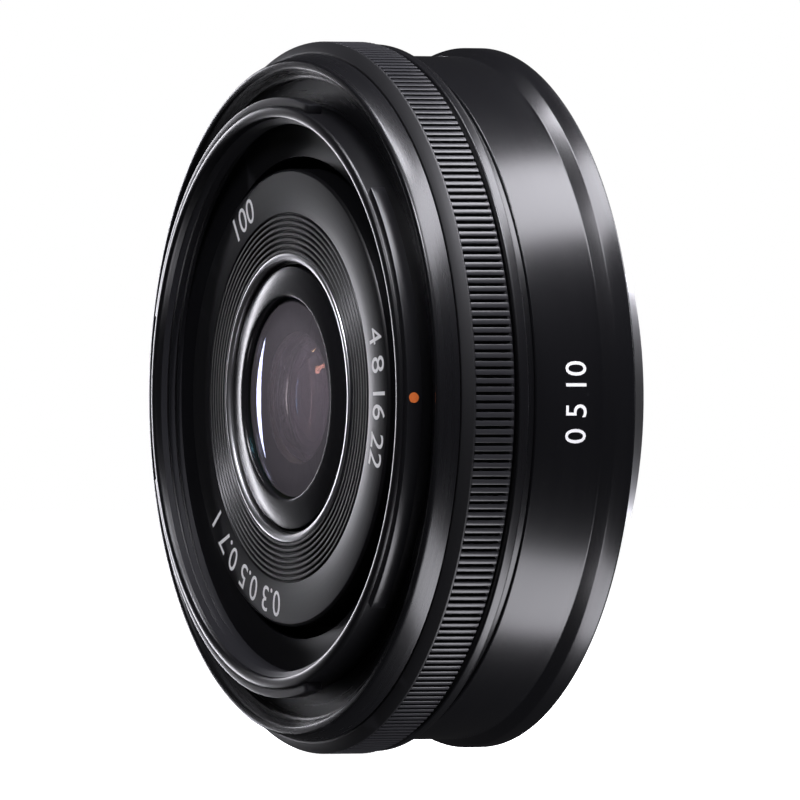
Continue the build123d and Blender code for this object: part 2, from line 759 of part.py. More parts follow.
def focus_spacer():
    """The ring between the two moving lenses."""
    return tube(FOCUS_LENS_RADIUS - 0.9, FOCUS_LENS_RADIUS, lens_3_back, lens_4_front)


def focus_retainer():
    """The ring that closes the focus cell behind the fourth lens."""
    return tube(FOCUS_LENS_RADIUS - 0.9, FOCUS_LENS_RADIUS + SLIP, lens_4_back, focus_back)


def focus_nut():
    """The brass nut on the lead screw."""
    nut = rod(screw_centre, NUT_RADIUS, nut_front, nut_back)
    return nut - rod(screw_centre, SCREW_RADIUS + RUNNING, nut_front, nut_back)


def lead_screw():
    """The focus motor's screw: its shaft in the motor, the threaded length and the rear tip."""
    shaft = rod(screw_centre, MOTOR_SHAFT_RADIUS, web_back + 0.5, bracket_back + 0.1)
    thread = rod(screw_centre, SCREW_RADIUS, bracket_back + 0.1, screw_tip - RUNNING)
    tip = rod(screw_centre, SCREW_TIP_RADIUS, screw_tip - RUNNING, bracket_end - RUNNING)
    return shaft + thread + tip


def motor_bracket():
    """The folded bracket that carries the rear tip of the lead screw."""
    strip_place = screw_place + MOTOR_RADIUS - 0.6
    front_plate = Pos(*screw_centre) * (Circle(MOTOR_RADIUS) - Circle(SCREW_RADIUS + 0.2))
    bracket = plate(front_plate, motor_back, bracket_back)
    strip = Rot(0, 0, SCREW_ANGLE) * Pos(strip_place, 0) * Rectangle(0.4, BRACKET_WIDTH)
    bracket += plate(strip, motor_back, bracket_end)
    end_plate = bar(screw_centre, at(strip_place - 1.0, SCREW_ANGLE), BRACKET_WIDTH / 2)
    bracket += plate(end_plate, screw_tip, bracket_end)
    return bracket - rod(screw_centre, SCREW_TIP_RADIUS + RUNNING, screw_tip, bracket_end)


def lead_screw_motor():
    """The focus stepper, bored through its rear for the screw's shaft."""
    can = rod(screw_centre, MOTOR_RADIUS, web_back, motor_back)
    return can - rod(screw_centre, MOTOR_SHAFT_RADIUS + RUNNING, web_back + 0.4, motor_back)


# ------------------------------------------------------------------ rear group, board and mount
lens_5_front = rear_plate_front + 0.5
lens_5_back = lens_5_front + 2.1
lens_6_front = lens_5_back + 1.0
lens_6_back = lens_6_front + 3.0
rear_cell_radius = REAR_LENS_RADIUS + 1.4
rear_plate_radius = POST_PLACE + 1.8
board_outer = POST_PLACE + 1.6
board_inner = rear_cell_radius + 0.8
rear_cell_end = lens_6_back + 0.8
FLEX_THICKNESS = 0.15
FLEX_WIDTH = 4.0
CHIP_HEIGHT = 0.55
BAFFLE_THICKNESS = 0.5
WINDOW_WIDTH = 18.4
WINDOW_HEIGHT = 12.8
iris_flex_place = ring_pitch_radius + pinion_pitch_radius + 1.6
focus_flex_place = screw_place + MOTOR_RADIUS


def board_screw_holes(start, end):
    """The clearance holes of the three screws that hold the board and the rear cell to the posts."""
    return [rod(at(POST_PLACE, angle), BOARD_SCREW_SHANK + SLIP, start, end) for angle in POST_ANGLES]


def rear_cell():
    """The fixed rear cell and the plate that joins it to the frame's posts."""
    cell = turned(
        (REAR_INNER_LENS_RADIUS - 0.7, rear_plate_front),
        (rear_plate_radius, rear_plate_front),
        (rear_plate_radius, rear_plate_back),
        (rear_cell_radius, rear_plate_back),
        (rear_cell_radius, rear_cell_end),
        (REAR_LENS_RADIUS + SLIP, rear_cell_end),
        (REAR_LENS_RADIUS + SLIP, lens_6_front),
        (REAR_INNER_LENS_RADIUS + SLIP, lens_6_front),
        (REAR_INNER_LENS_RADIUS + SLIP, lens_5_front),
        (REAR_INNER_LENS_RADIUS - 0.7, lens_5_front),
    )
    cell += [rod(at(POST_PLACE, angle), 1.2, rear_plate_back - 0.1, board_front) for angle in POST_ANGLES]
    cell -= board_screw_holes(rear_plate_front, board_front)
    cell -= [rod(place, ROD_RADIUS, rear_plate_front, rod_back) for place in (main_rod, second_rod)]
    iris_notch = Pos(0, -(iris_flex_place + 0.1)) * Rectangle(FLEX_WIDTH + 1, 1.0)
    focus_notch = Rot(0, 0, SCREW_ANGLE) * Pos(focus_flex_place + 0.1, 0) * Rectangle(1.0, FLEX_WIDTH + 1)
    return cell - plate(iris_notch + focus_notch, rear_plate_front, rear_plate_back)


def rear_spacer():
    """The ring between the two rear lenses."""
    return tube(REAR_INNER_LENS_RADIUS - 0.9, REAR_INNER_LENS_RADIUS, lens_5_back, lens_6_front)


def rear_retainer():
    """The threaded ring behind the last lens."""
    return tube(REAR_LENS_RADIUS - 0.9, REAR_LENS_RADIUS + SLIP, lens_6_back, rear_cell_end)


def rear_baffle():
    """The black mask at the back, whose rounded window keeps stray light off the sensor's edges."""
    mask = Circle(rear_cell_radius) - RectangleRounded(WINDOW_WIDTH, WINDOW_HEIGHT, 1.6)
    return plate(mask, rear_cell_end, rear_cell_end + BAFFLE_THICKNESS)


def circuit_board():
    """The ring-shaped main board, screwed to the posts."""
    board = tube(board_inner, board_outer, board_front, board_back)
    return board - board_screw_holes(board_front, board_back)


def board_chips():
    """The lens processor, the two motor drivers and the flex connectors, on the back of the board."""
    place = (board_inner + board_outer) / 2
    chips = (  # angle, width and height of each
        (92, 4.6, 4.6),
        (28, 3.0, 3.0),
        (152, 3.0, 3.0),
        (212, 4.2, 1.8),
        (330, 4.2, 1.8),
    )
    return [
        plate(Rot(0, 0, angle) * Pos(place, 0) * Rectangle(high, wide), board_back, board_back + CHIP_HEIGHT)
        for angle, wide, high in chips
    ]


def iris_flex():
    """The flat cable from the iris motor to the board."""
    strip = Pos(0, -(iris_flex_place + FLEX_THICKNESS / 2)) * Rectangle(FLEX_WIDTH, FLEX_THICKNESS)
    return plate(strip, iris_motor_back, board_front)


def focus_flex():
    """The flat cable from the focus motor's side to the board."""
    place = focus_flex_place + FLEX_THICKNESS / 2
    strip = Rot(0, 0, SCREW_ANGLE) * Pos(place, 0) * Rectangle(FLEX_THICKNESS, FLEX_WIDTH)
    return plate(strip, web_back + 1.5, board_front)


CONTACT_COUNT = 10
CONTACT_ANGLE = 270
CONTACT_PITCH = 5.4
CONTACT_PLACE = 18.0
BLOCK_INNER = 16.2
BLOCK_SPAN = 30
TONGUE_SPAN = 22
PAD_RADIUS = 0.55
PAD_DEPTH = 0.4
block_back = 2.6
tongue_front = board_back + 0.2
COVER_THICKNESS = 1.0
LEDGE_BACK = -0.8
TAB_ANGLES = (0, 120, 240)
TAB_SPAN = 56


def mount_plate():
    """The metal bayonet: flange, barrel, three tabs, screw seats and the slot for the camera's lock pin."""
    metal = turned(
        (MOUNT_THROAT_RADIUS, -FLANGE_THICKNESS),
        (flange_radius, -FLANGE_THICKNESS),
        (flange_radius, -0.15),
        (flange_radius - 0.15, 0),
        (MOUNT_BARREL_RADIUS, 0),
        (MOUNT_BARREL_RADIUS, MOUNT_DEPTH - 0.2),
        (MOUNT_BARREL_RADIUS - 0.2, MOUNT_DEPTH),
        (MOUNT_THROAT_RADIUS, MOUNT_DEPTH),
    )
    tab_start = MOUNT_DEPTH - MOUNT_TAB_THICKNESS
    for angle in TAB_ANGLES:
        tab = sector(MOUNT_BARREL_RADIUS - 0.3, MOUNT_TAB_RADIUS, angle - TAB_SPAN / 2, angle + TAB_SPAN / 2)
        metal += plate(tab, tab_start, MOUNT_DEPTH - 0.2)
    ledge = Circle(MOUNT_THROAT_RADIUS + 0.1) - Circle(MOUNT_THROAT_RADIUS - 0.8)
    half_gap = BLOCK_SPAN + 4
    gap = sector(BLOCK_INNER, flange_radius, CONTACT_ANGLE - half_gap, CONTACT_ANGLE + half_gap)
    metal += plate(ledge - gap, -FLANGE_THICKNESS, LEDGE_BACK)
    for angle in MOUNT_SCREW_ANGLES:
        metal -= mount_screw(angle, SLIP)
    lock = Rot(0, 0, 100) * Pos((flange_radius + MOUNT_BARREL_RADIUS) / 2 + 0.4, 0) * SlotOverall(3.2, 2.0)
    return metal - plate(lock, -FLANGE_THICKNESS, 0)


def mount_screw(angle, clearance=0.0):
    """One countersunk screw of the mount, flush with the flange."""
    place = at(mount_screw_place, angle)
    depth = MOUNT_SCREW_HEAD - MOUNT_SCREW_SHANK + clearance
    head, shank = MOUNT_SCREW_HEAD + clearance, MOUNT_SCREW_SHANK + clearance
    return cone_screw(place, head, shank, 0, depth, TAPPED_FRONT + 0.4)


def contact_block():
    """The moulded block of the electrical contacts, with the tongue that tucks under the flange."""
    first = CONTACT_ANGLE - BLOCK_SPAN
    last = CONTACT_ANGLE + BLOCK_SPAN
    block = plate(sector(BLOCK_INNER, MOUNT_THROAT_RADIUS - AIR, first, last), -FLANGE_THICKNESS, block_back)
    tongue = sector(
        BLOCK_INNER, MOUNT_THROAT_RADIUS + 2, CONTACT_ANGLE - TONGUE_SPAN, CONTACT_ANGLE + TONGUE_SPAN
    )
    block += plate(tongue, tongue_front, -FLANGE_THICKNESS)
    pad_front = block_back - PAD_DEPTH
    return block - [rod(place, PAD_RADIUS + RUNNING, pad_front, block_back) for place in contact_places()]


def contact_places():
    """The centres of the contacts along their arc."""
    first = CONTACT_ANGLE - CONTACT_PITCH * (CONTACT_COUNT - 1) / 2
    return [at(CONTACT_PLACE, first + CONTACT_PITCH * i) for i in range(CONTACT_COUNT)]


def contact_pins():
    """The ten gilded contact pads."""
    return [rod(place, PAD_RADIUS, block_back - PAD_DEPTH, block_back + 0.15) for place in contact_places()]


def contact_flex():
    """The flat cable from the board up to the contact block."""
    strip = sector(BLOCK_INNER - 1.7, CONTACT_PLACE + 0.5, CONTACT_ANGLE - 12, CONTACT_ANGLE + 12)
    return plate(strip, board_back, tongue_front)


def rear_cover():
    """The black plate that closes the space between the bayonet and the rear cell."""
    outline = Circle(MOUNT_THROAT_RADIUS - AIR) - Circle(rear_cell_radius + AIR)
    half_gap = BLOCK_SPAN + 0.6
    gap = sector(BLOCK_INNER - AIR, flange_radius, CONTACT_ANGLE - half_gap, CONTACT_ANGLE + half_gap)
    return plate(outline - gap, LEDGE_BACK, LEDGE_BACK + COVER_THICKNESS)


# ------------------------------------------------------------------ write every sub-part
save(filter_ring(), "filter_ring")
save(front_bezel(), "front_bezel")
save(index_pocket(0), "index_mark")
save(focus_ring(), "focus_ring")
save(encoder_comb(), "encoder_comb")
save(step_ring(), "step_ring")
save(rear_barrel(), "rear_barrel")
save(mount_mark(), "mount_mark")
save(name_ring(), "name_ring")
save(trim_ring(), "trim_ring")
save(front_retainer(), "front_retainer")
save(front_cell(), "front_cell")
save(second_retainer(), "second_retainer")
save(main_frame(), "main_frame")
save(focus_ring_sensors(), "focus_ring_sensors")

save(
    lens(
        FRONT_LENS_RADIUS,
        (lens_1_front - 0.9, lens_1_front, FRONT_LENS_RADIUS - 0.2, 0),
        (lens_1_back - 1.9, lens_1_back, 5.6, 0.1),
    ),
    "lens_1",
)
save(
    lens(
        SECOND_LENS_RADIUS,
        (lens_2_front - 1.0, lens_2_front, SECOND_LENS_RADIUS - 0.8, 0),
        (lens_2_back + 0.4, lens_2_back, SECOND_LENS_RADIUS - 0.9, 0),
    ),
    "lens_2",
)
save(
    lens(
        FOCUS_LENS_RADIUS,
        (lens_3_front - 0.7, lens_3_front, FOCUS_LENS_RADIUS - 0.6, 0),
        (lens_3_back + 0.3, lens_3_back, FOCUS_LENS_RADIUS - 1.0, 0),
    ),
    "lens_3",
)
save(
    lens(
        FOCUS_LENS_RADIUS,
        (lens_4_front + 0.3, lens_4_front, FOCUS_LENS_RADIUS - 1.0, 0),
        (lens_4_back - 0.2, lens_4_back, FOCUS_LENS_RADIUS - 1.1, 0.02),
    ),
    "lens_4",
)
save(
    lens(
        REAR_INNER_LENS_RADIUS,
        (lens_5_front + 0.7, lens_5_front, REAR_INNER_LENS_RADIUS - 0.9, 0.05),
        (lens_5_back + 0.4, lens_5_back, REAR_INNER_LENS_RADIUS - 1.0, 0),
    ),
    "lens_5",
)
save(
    lens(
        REAR_LENS_RADIUS,
        (lens_6_front + 0.5, lens_6_front, REAR_LENS_RADIUS - 0.7, 0.08),
        (lens_6_back + 0.3, lens_6_back, REAR_LENS_RADIUS - 1.0, 0),
    ),
    "lens_6",
)

save(iris_base(), "iris_base")
save(iris_cover(), "iris_cover")
save(iris_drive_ring(), "iris_drive_ring")
for number in range(BLADE_COUNT):
    save(iris_blade(number), f"iris_blade_{number + 1}")
save(iris_pinion(), "iris_pinion")
save(motor(pinion_place, cover_back, iris_motor_back), "iris_motor")

save(focus_cell(), "focus_cell")
save(focus_spacer(), "focus_spacer")
save(focus_retainer(), "focus_retainer")
save(focus_nut(), "focus_nut")
save(lead_screw(), "lead_screw")
save(lead_screw_motor(), "focus_motor")
save(motor_bracket(), "motor_bracket")
save(rod(main_rod, ROD_RADIUS, rod_front, rod_back), "main_guide_rod")
save(rod(second_rod, ROD_RADIUS, rod_front, rod_back), "second_guide_rod")

save(rear_cell(), "rear_cell")
save(rear_spacer(), "rear_spacer")
save(rear_retainer(), "rear_retainer")
save(rear_baffle(), "rear_baffle")
save(circuit_board(), "circuit_board")
save(board_chips(), "board_chips")
save(iris_flex(), "iris_flex")
save(focus_flex(), "focus_flex")
save(mount_plate(), "mount_plate")
save([mount_screw(angle) for angle in MOUNT_SCREW_ANGLES], "mount_screws")
save(contact_block(), "contact_block")
save(contact_pins(), "contact_pins")
save(contact_flex(), "contact_flex")
save(rear_cover(), "rear_cover")


save(
    screws(front_screw_place, FRONT_SCREW_ANGLES, FRONT_SCREW_HEAD, FRONT_SCREW_SHANK,
           clamp_front, clamp_front + SCREW_HEAD_HEIGHT, web_back - AIR),
    "front_screws",
)
save(
    screws(cell_screw_place, CELL_SCREW_ANGLES, CELL_SCREW_HEAD, CELL_SCREW_SHANK,
           cell_flange_front - SCREW_HEAD_HEIGHT, cell_flange_front, web_back - AIR),
    "cell_screws",
)
save(
    screws(iris_ear_place, IRIS_EAR_ANGLES, IRIS_SCREW_HEAD, IRIS_SCREW_SHANK,
           cover_back + IRIS_HEAD_HEIGHT, cover_back, web_back - IRIS_TAP_DEPTH + AIR),
    "iris_screws",
)
save(
    screws(POST_PLACE, POST_ANGLES, BOARD_SCREW_HEAD, BOARD_SCREW_SHANK,
           board_back + BOARD_HEAD_HEIGHT, board_back, rear_plate_front - POST_TAP_DEPTH + 0.4),
    "board_screws",
)
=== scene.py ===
import math

import bpy
from mathutils import Matrix, Vector


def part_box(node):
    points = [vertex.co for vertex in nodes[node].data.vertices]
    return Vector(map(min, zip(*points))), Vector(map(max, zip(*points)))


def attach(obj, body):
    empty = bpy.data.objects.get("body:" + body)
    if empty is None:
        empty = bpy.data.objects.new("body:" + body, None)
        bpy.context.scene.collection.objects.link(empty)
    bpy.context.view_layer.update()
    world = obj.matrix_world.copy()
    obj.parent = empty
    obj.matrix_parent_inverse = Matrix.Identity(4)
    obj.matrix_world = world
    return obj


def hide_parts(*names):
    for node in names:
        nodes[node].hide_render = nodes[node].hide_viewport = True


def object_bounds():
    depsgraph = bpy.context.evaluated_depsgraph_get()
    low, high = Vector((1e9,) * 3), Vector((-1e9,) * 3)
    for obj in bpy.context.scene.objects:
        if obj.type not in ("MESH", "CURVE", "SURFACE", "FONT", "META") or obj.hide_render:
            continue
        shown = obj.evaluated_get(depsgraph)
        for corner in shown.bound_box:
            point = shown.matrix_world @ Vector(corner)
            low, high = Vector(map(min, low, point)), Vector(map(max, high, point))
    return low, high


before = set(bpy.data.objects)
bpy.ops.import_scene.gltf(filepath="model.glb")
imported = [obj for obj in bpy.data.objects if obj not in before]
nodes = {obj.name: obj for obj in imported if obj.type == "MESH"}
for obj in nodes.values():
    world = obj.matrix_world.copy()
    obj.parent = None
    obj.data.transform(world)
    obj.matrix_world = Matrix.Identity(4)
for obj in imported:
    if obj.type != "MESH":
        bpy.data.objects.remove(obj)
cad_low, cad_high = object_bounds()
MM = 0.001

# ---------------------------------------------------------------- the bench and the light
# The lens stands on its own in a white studio, on a pale floor, and is lit by large soft boxes.
# The optical axis is Y and the front faces -Y; the origin is the centre of the mount's flange.


def clear_selection():
    """Leaves edit mode and selects nothing."""
    if bpy.context.mode != "OBJECT":
        bpy.ops.object.mode_set(mode="OBJECT")
    bpy.ops.object.select_all(action="DESELECT")


def place_in_mesh(piece):
    """Puts the piece's place into its mesh, so that its object sits at the origin."""
    clear_selection()
    piece.select_set(True)
    bpy.context.view_layer.objects.active = piece
    bpy.ops.object.transform_apply(location=True, rotation=True, scale=True)
    return piece


class Value:
    """A shader socket that sums, products and comparisons can be written with."""

    tree = None

    def __init__(self, socket):
        self.socket = socket

    @classmethod
    def node(cls, kind, settings=(), output=0, **inputs):
        """Any node: its type, its settings, then its sockets' values or links by name."""
        made = cls.tree.nodes.new(kind)
        for name, value in dict(settings).items():
            if name == "stops":
                ramp = made.color_ramp
                while len(ramp.elements) < len(value):
                    ramp.elements.new(0.5)
                for element, (place, colour) in zip(ramp.elements, value):
                    element.position = place
                    element.color = colour
            else:
                setattr(made, name, value)
        for name, value in inputs.items():
            by_number = name[0] == "i" and name[1:].isdigit()
            socket = made.inputs[int(name[1:]) if by_number else name]
            if isinstance(value, Value):
                cls.tree.links.new(value.socket, socket)
            else:
                socket.default_value = value
        return cls(made.outputs[output])

    def math(self, operation, *others, clamp=False):
        sockets = {f"i{i}": value for i, value in enumerate((self, *others))}
        return Value.node("ShaderNodeMath", {"operation": operation, "use_clamp": clamp}, **sockets)

    def __add__(self, other):
        return self.math("ADD", other)

    def __mul__(self, other):
        return self.math("MULTIPLY", other)

    def __sub__(self, other):
        return self.math("SUBTRACT", other)

    def __rsub__(self, other):
        return Value.node("ShaderNodeMath", {"operation": "SUBTRACT"}, i0=other, i1=self)

    def __gt__(self, other):
        return self.math("GREATER_THAN", other)

    __radd__ = __add__
    __rmul__ = __mul__


def object_place():
    """The x, y and z of a point on the piece, in metres, as three values."""
    place = Value.node("ShaderNodeTexCoord", output=3)
    parts = Value.tree.nodes.new("ShaderNodeSeparateXYZ")
    Value.tree.links.new(place.socket, parts.inputs[0])
    return place, [Value(parts.outputs[i]) for i in range(3)]


def noise(place, scale, detail=3.0, roughness=0.55):
    """Soft noise between 0 and 1."""
    return Value.node("ShaderNodeTexNoise", Vector=place, Scale=scale, Detail=detail, Roughness=roughness)


def blend_colour(share, first, last):
    """A colour between two others."""
    return Value.node("ShaderNodeMix", {"data_type": "RGBA"}, output=2, i0=share, i6=first, i7=last)


def new_material(name):
    """An empty material, its Principled shader and the tree that the next values go to."""
    material = bpy.data.materials.new(name)
    material.use_nodes = True
    Value.tree = material.node_tree
    return material, material.node_tree.nodes["Principled BSDF"]


def feed(shader, **sockets):
    """Sets or links the shader's sockets; an underscore stands for a space."""
    for name, value in sockets.items():
        socket = shader.inputs[name.replace("_", " ")]
        if isinstance(value, Value):
            Value.tree.links.new(value.socket, socket)
        else:
            socket.default_value = value


scene = bpy.context.scene
clear_selection()
CAMERA_DISTANCE = 1.5
CAMERA_TURN = math.radians(64.2)
CAMERA_FOCAL = 767.0
FRAME_WIDTH = 36
LENS_MIDDLE = Vector((0, -10 * MM, 0))
AIM_RIGHT, AIM_UP = 1.82, -0.2
FLOOR_SIZE = 6.0
FLOOR_GAP = 0.2

camera_data = bpy.data.cameras.new("camera")
camera = bpy.data.objects.new("camera", camera_data)
scene.collection.objects.link(camera)
right = Vector((math.cos(CAMERA_TURN), math.sin(CAMERA_TURN), 0))
back = Vector((math.sin(CAMERA_TURN), -math.cos(CAMERA_TURN), 0))
look_at = LENS_MIDDLE + right * AIM_RIGHT * MM + Vector((0, 0, AIM_UP * MM))
camera.location = look_at + back * CAMERA_DISTANCE
camera.rotation_mode = "QUATERNION"
camera.rotation_quaternion = (-back).to_track_quat("-Z", "Y")
camera_data.lens = CAMERA_FOCAL
camera_data.sensor_width = FRAME_WIDTH
camera_data.clip_start, camera_data.clip_end = 0.05, 50
scene.camera = camera

bpy.ops.mesh.primitive_plane_add(size=FLOOR_SIZE, location=(0, 0, cad_low.z - FLOOR_GAP * MM))
floor = bpy.context.object
floor.name = "floor"
place_in_mesh(floor)
paper, shader = new_material("studio_paper")
grain = noise(object_place()[0], 900.0)
feed(
    shader,
    Base_Color=blend_colour(grain, (0.90, 0.90, 0.90, 1), (0.94, 0.94, 0.94, 1)),
    Roughness=0.9,
    Emission_Color=blend_colour(grain, (0.97, 0.97, 0.97, 1), (1, 1, 1, 1)),
    Emission_Strength=1.0,
)
floor.data.materials.append(paper)
floor.visible_glossy = False
floor.visible_diffuse = False
floor.visible_transmission = False
floor.visible_shadow = False


COOL_WHITE = (0.94, 0.93, 1)


def soft_box(name, turn, lift, distance, width, height, power):
    """A soft box that stands at a turn and a lift, in degrees, round the lens and faces it."""
    data = bpy.data.lights.new(name, "AREA")
    data.shape = "RECTANGLE"
    data.size, data.size_y = width, height
    data.energy = power
    data.color = COOL_WHITE
    box = bpy.data.objects.new(name, data)
    scene.collection.objects.link(box)
    a, e = math.radians(turn), math.radians(lift)
    toward = Vector((math.sin(a) * math.cos(e), -math.cos(a) * math.cos(e), math.sin(e)))
    box.location = LENS_MIDDLE + toward * distance
    box.rotation_mode = "QUATERNION"
    box.rotation_quaternion = toward.to_track_quat("Z", "Y")


for name, turn, lift, distance, width, height, power in (
    ("upper_rear_box", 116, 61, 0.55, 0.75, 0.25, 7.4),
    ("lower_rear_box", 116, -61, 0.6, 0.75, 0.27, 4.6),
    ("left_box", -84, 0, 0.6, 0.12, 0.4, 1.5),
    ("top_box", 20, 84, 0.6, 0.3, 0.10, 2.5),
    ("back_box", 195, 28, 0.7, 0.5, 0.5, 3.0),
    ("front_box", 20, 42, 1.0, 0.2, 0.2, 6.0),
):
    soft_box(name, turn, lift, distance, width, height, power)

# The paper behind the lens is white, and the rest of the studio is dark, so black metal stays black.
STUDIO_DIM = 0.014
PAPER_WHITE = 1.0
world = bpy.data.worlds.new("studio")
scene.world = world
world.use_nodes = True
Value.tree = world.node_tree
seen = Value.node("ShaderNodeLightPath")
feed(
    world.node_tree.nodes["Background"],
    Color=(1, 1, 1, 1),
    Strength=seen * (PAPER_WHITE - STUDIO_DIM) + STUDIO_DIM,
)
scene.view_settings.view_transform = "Standard"


# ---------------------------------------------------------------- front bezel
# The bowl, the front lip and the smooth band are one ring turned from aluminium. It is anodised
# satin black and its band is finely brushed round the axis. Every edge is broken by the lathe.
ROUND_STEPS = 256
ANODISE = (0.0042, 0.0042, 0.0050, 1)
ANODISE_WORN = (0.030, 0.030, 0.034, 1)


def reach(node):
    """The outer radius, the front and the rear of a round node, in millimetres."""
    low_corner, high_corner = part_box(node)
    return high_corner.x / MM, low_corner.y / MM, high_corner.y / MM


def turned(name, outline, edge=0.08, steps=ROUND_STEPS):
    """A ring turned from a closed outline of (radius, station) in millimetres, with broken edges."""
    clear_selection()
    bpy.ops.mesh.primitive_circle_add(vertices=len(outline), radius=MM, fill_type="NOTHING")
    piece = bpy.context.object
    piece.name = name
    for vertex, (radius, station) in zip(piece.data.vertices, outline):
        vertex.co = (radius * MM, station * MM, 0)
    bpy.ops.object.mode_set(mode="EDIT")
    bpy.ops.mesh.select_all(action="SELECT")
    bpy.ops.mesh.spin(steps=steps, angle=math.tau, center=(0, 0, 0), axis=(0, 1, 0))
    bpy.ops.mesh.select_all(action="SELECT")
    bpy.ops.mesh.remove_doubles(threshold=0.0005 * MM)
    bpy.ops.mesh.normals_make_consistent(inside=False)
    bpy.ops.object.mode_set(mode="OBJECT")
    if edge:
        break_edges(piece, edge)
    smooth(piece)
    return piece


def break_edges(piece, width, segments=2, angle=25):
    """Rounds the sharp edges by a width in millimetres."""
    clear_selection()
    piece.select_set(True)
    bpy.context.view_layer.objects.active = piece
    bevel = piece.modifiers.new("broken_edges", "BEVEL")
    bevel.width = width * MM
    bevel.segments = segments
    bevel.limit_method = "ANGLE"
    bevel.angle_limit = math.radians(angle)
    bevel.use_clamp_overlap = True
    bpy.ops.object.modifier_apply(modifier="broken_edges")


def smooth(piece, angle=32):
    """Smooth shading that keeps real corners."""
    clear_selection()
    piece.select_set(True)
    bpy.context.view_layer.objects.active = piece
    bpy.ops.object.shade_smooth_by_angle(angle=math.radians(angle))


def fit(piece, body, slot, material, *replaced):
    """Gives a piece its finish, the body that it rides on and the nodes that it stands for."""
    piece.data.materials.clear()
    piece.data.materials.append(material)
    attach(piece, body)
    if replaced:
        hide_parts(*replaced)
    return piece


def turning_place(stretch_round, stretch_along):
    """A place unrolled round the optical axis: angle, station and radius, for lathe and brush marks."""
    place, (x, y, z) = object_place()
    angle = x.math("ARCTAN2", z)
    radius = (x * x + z * z).math("SQRT")
    unrolled = Value.node(
        "ShaderNodeCombineXYZ", i0=angle * stretch_round, i1=y * stretch_along, i2=radius * stretch_along
    )
    return place, y, radius, unrolled


def bump(height, strength, distance):
    """A normal from a height."""
    return Value.node("ShaderNodeBump", Strength=strength, Distance=distance, Height=height)


def anodised(name, roughness, brush=0.06, dust=0.35, base=ANODISE, worn=0.25, sweep=2.0, relief=0.1):
    """Satin black anodising with lathe marks round the axis, faint dust and paler worn edges."""
    material, shader = new_material(name)
    place, y, radius, unrolled = turning_place(sweep, 2600.0)
    marks = noise(unrolled, 1.0, 4.0, 0.6)
    cloud = noise(place, 90.0)
    specks = noise(place, 2600.0, 2.0)
    speck = (specks > 0.72) * (cloud > 0.52) * dust
    edge = Value.node("ShaderNodeNewGeometry", output=7)
    rubbed = Value.node("ShaderNodeMapRange", Value=edge, i1=0.53, i2=0.62)
    colour = blend_colour(speck * 0.4 + rubbed * worn, base, ANODISE_WORN)
    feed(
        shader,
        Base_Color=colour,
        Roughness=(marks - 0.5) * brush + roughness + (cloud - 0.5) * 0.05,
        Normal=bump(marks, relief, 0.02 * MM),
    )
    return material


bezel_radius, lip_front, bezel_back = reach("front_bezel")
bowl_bore = 25.64  # seat on the filter ring
bowl_floor, band_back = -17.3, -16.8
bezel = turned(
    "front_bezel_shell",
    (
        (bowl_bore, bowl_floor),
        (28.1, bowl_floor),
        (28.35, -17.45),
        (28.5, -17.8),
        (28.8, lip_front + 0.25),
        (28.95, lip_front + 0.06),
        (29.2, lip_front),
        (29.5, lip_front + 0.05),
        (29.66, lip_front + 0.22),
        (29.72, lip_front + 0.4),
        (bezel_radius, band_back),
        (29.5, band_back),
        (29.5, bezel_back),
        (27.5, bezel_back),
        (27.5, -16.3),
        (bowl_bore, -16.3),
    ),
    0.06,
)
bezel_black = anodised("bezel_anodised", 0.27, 0.1)
fit(bezel, "lens_body", "black_anodised", bezel_black, "front_bezel")

# ---------------------------------------------------------------- filter ring
# A bored aluminium tube with a 49 mm thread of 0.75 mm pitch, a dark cone and a flat floor below
# it, and three lugs outside that an add-on lens grips. Its front lip is rounded and rubbed bright.
THREAD_PITCH = 0.75
THREAD_TURNS = 2.75
THREAD_STEPS = 144
THREAD_START = 0.62
LUG_TURNS = (0, 120, 240)
LUG_HALF_SPAN = 44
LUG_FRONT, LUG_BACK = 0.4, 1.8
INDEX_PROUD = 0.04
ring_front = reach("filter_ring")[1]
lug_radius = reach("index_mark")[0]  # the index is set in the face of the first lug
tube_radius = 25.6
thread_radius = 24.5
floor_station = -17.7
ring = turned(
    "filter_ring_shell",
    (
        (24.55, ring_front + 0.3),
        (24.62, ring_front + 0.14),
        (24.78, ring_front + 0.04),
        (25.0, ring_front),
        (25.3, ring_front + 0.04),
        (25.5, ring_front + 0.15),
        (tube_radius, ring_front + 0.35),
        (tube_radius, -16.3),
        (27.2, -16.3),
        (27.2, -15.3),
        (tube_radius, -15.3),
        (tube_radius, -14.6),
        (22.5, -14.6),
        (22.5, -16.9),
        (21.2, -16.9),
        (21.2, floor_station),
        (22.5, floor_station),
        (23.9, -17.92),
        (thread_radius, -17.95),
    ),
    0.03,
)

clear_selection()
bpy.ops.mesh.primitive_circle_add(vertices=3, radius=MM, fill_type="NOTHING")
thread = bpy.context.object
thread.name = "filter_thread_ridge"
ridge = ((24.56, -0.34), (24.56, 0.34), (24.08, 0.04))
for vertex, (radius, station) in zip(thread.data.vertices, ridge):
    vertex.co = (radius * MM, (ring_front + THREAD_START + station) * MM, 0)
helix = thread.modifiers.new("helix", "SCREW")
helix.axis = "Y"
helix.angle = math.tau * THREAD_TURNS
helix.screw_offset = THREAD_PITCH * THREAD_TURNS * MM
helix.steps = helix.render_steps = int(THREAD_STEPS * THREAD_TURNS)
helix.use_merge_vertices = False
bpy.context.view_layer.objects.active = thread
bpy.ops.object.modifier_apply(modifier="helix")
bpy.ops.object.mode_set(mode="EDIT")
bpy.ops.mesh.select_mode(type="EDGE")
bpy.ops.mesh.select_all(action="DESELECT")
bpy.ops.mesh.select_non_manifold()
bpy.ops.mesh.edge_face_add()
bpy.ops.mesh.select_mode(type="VERT")
bpy.ops.mesh.select_all(action="DESELECT")
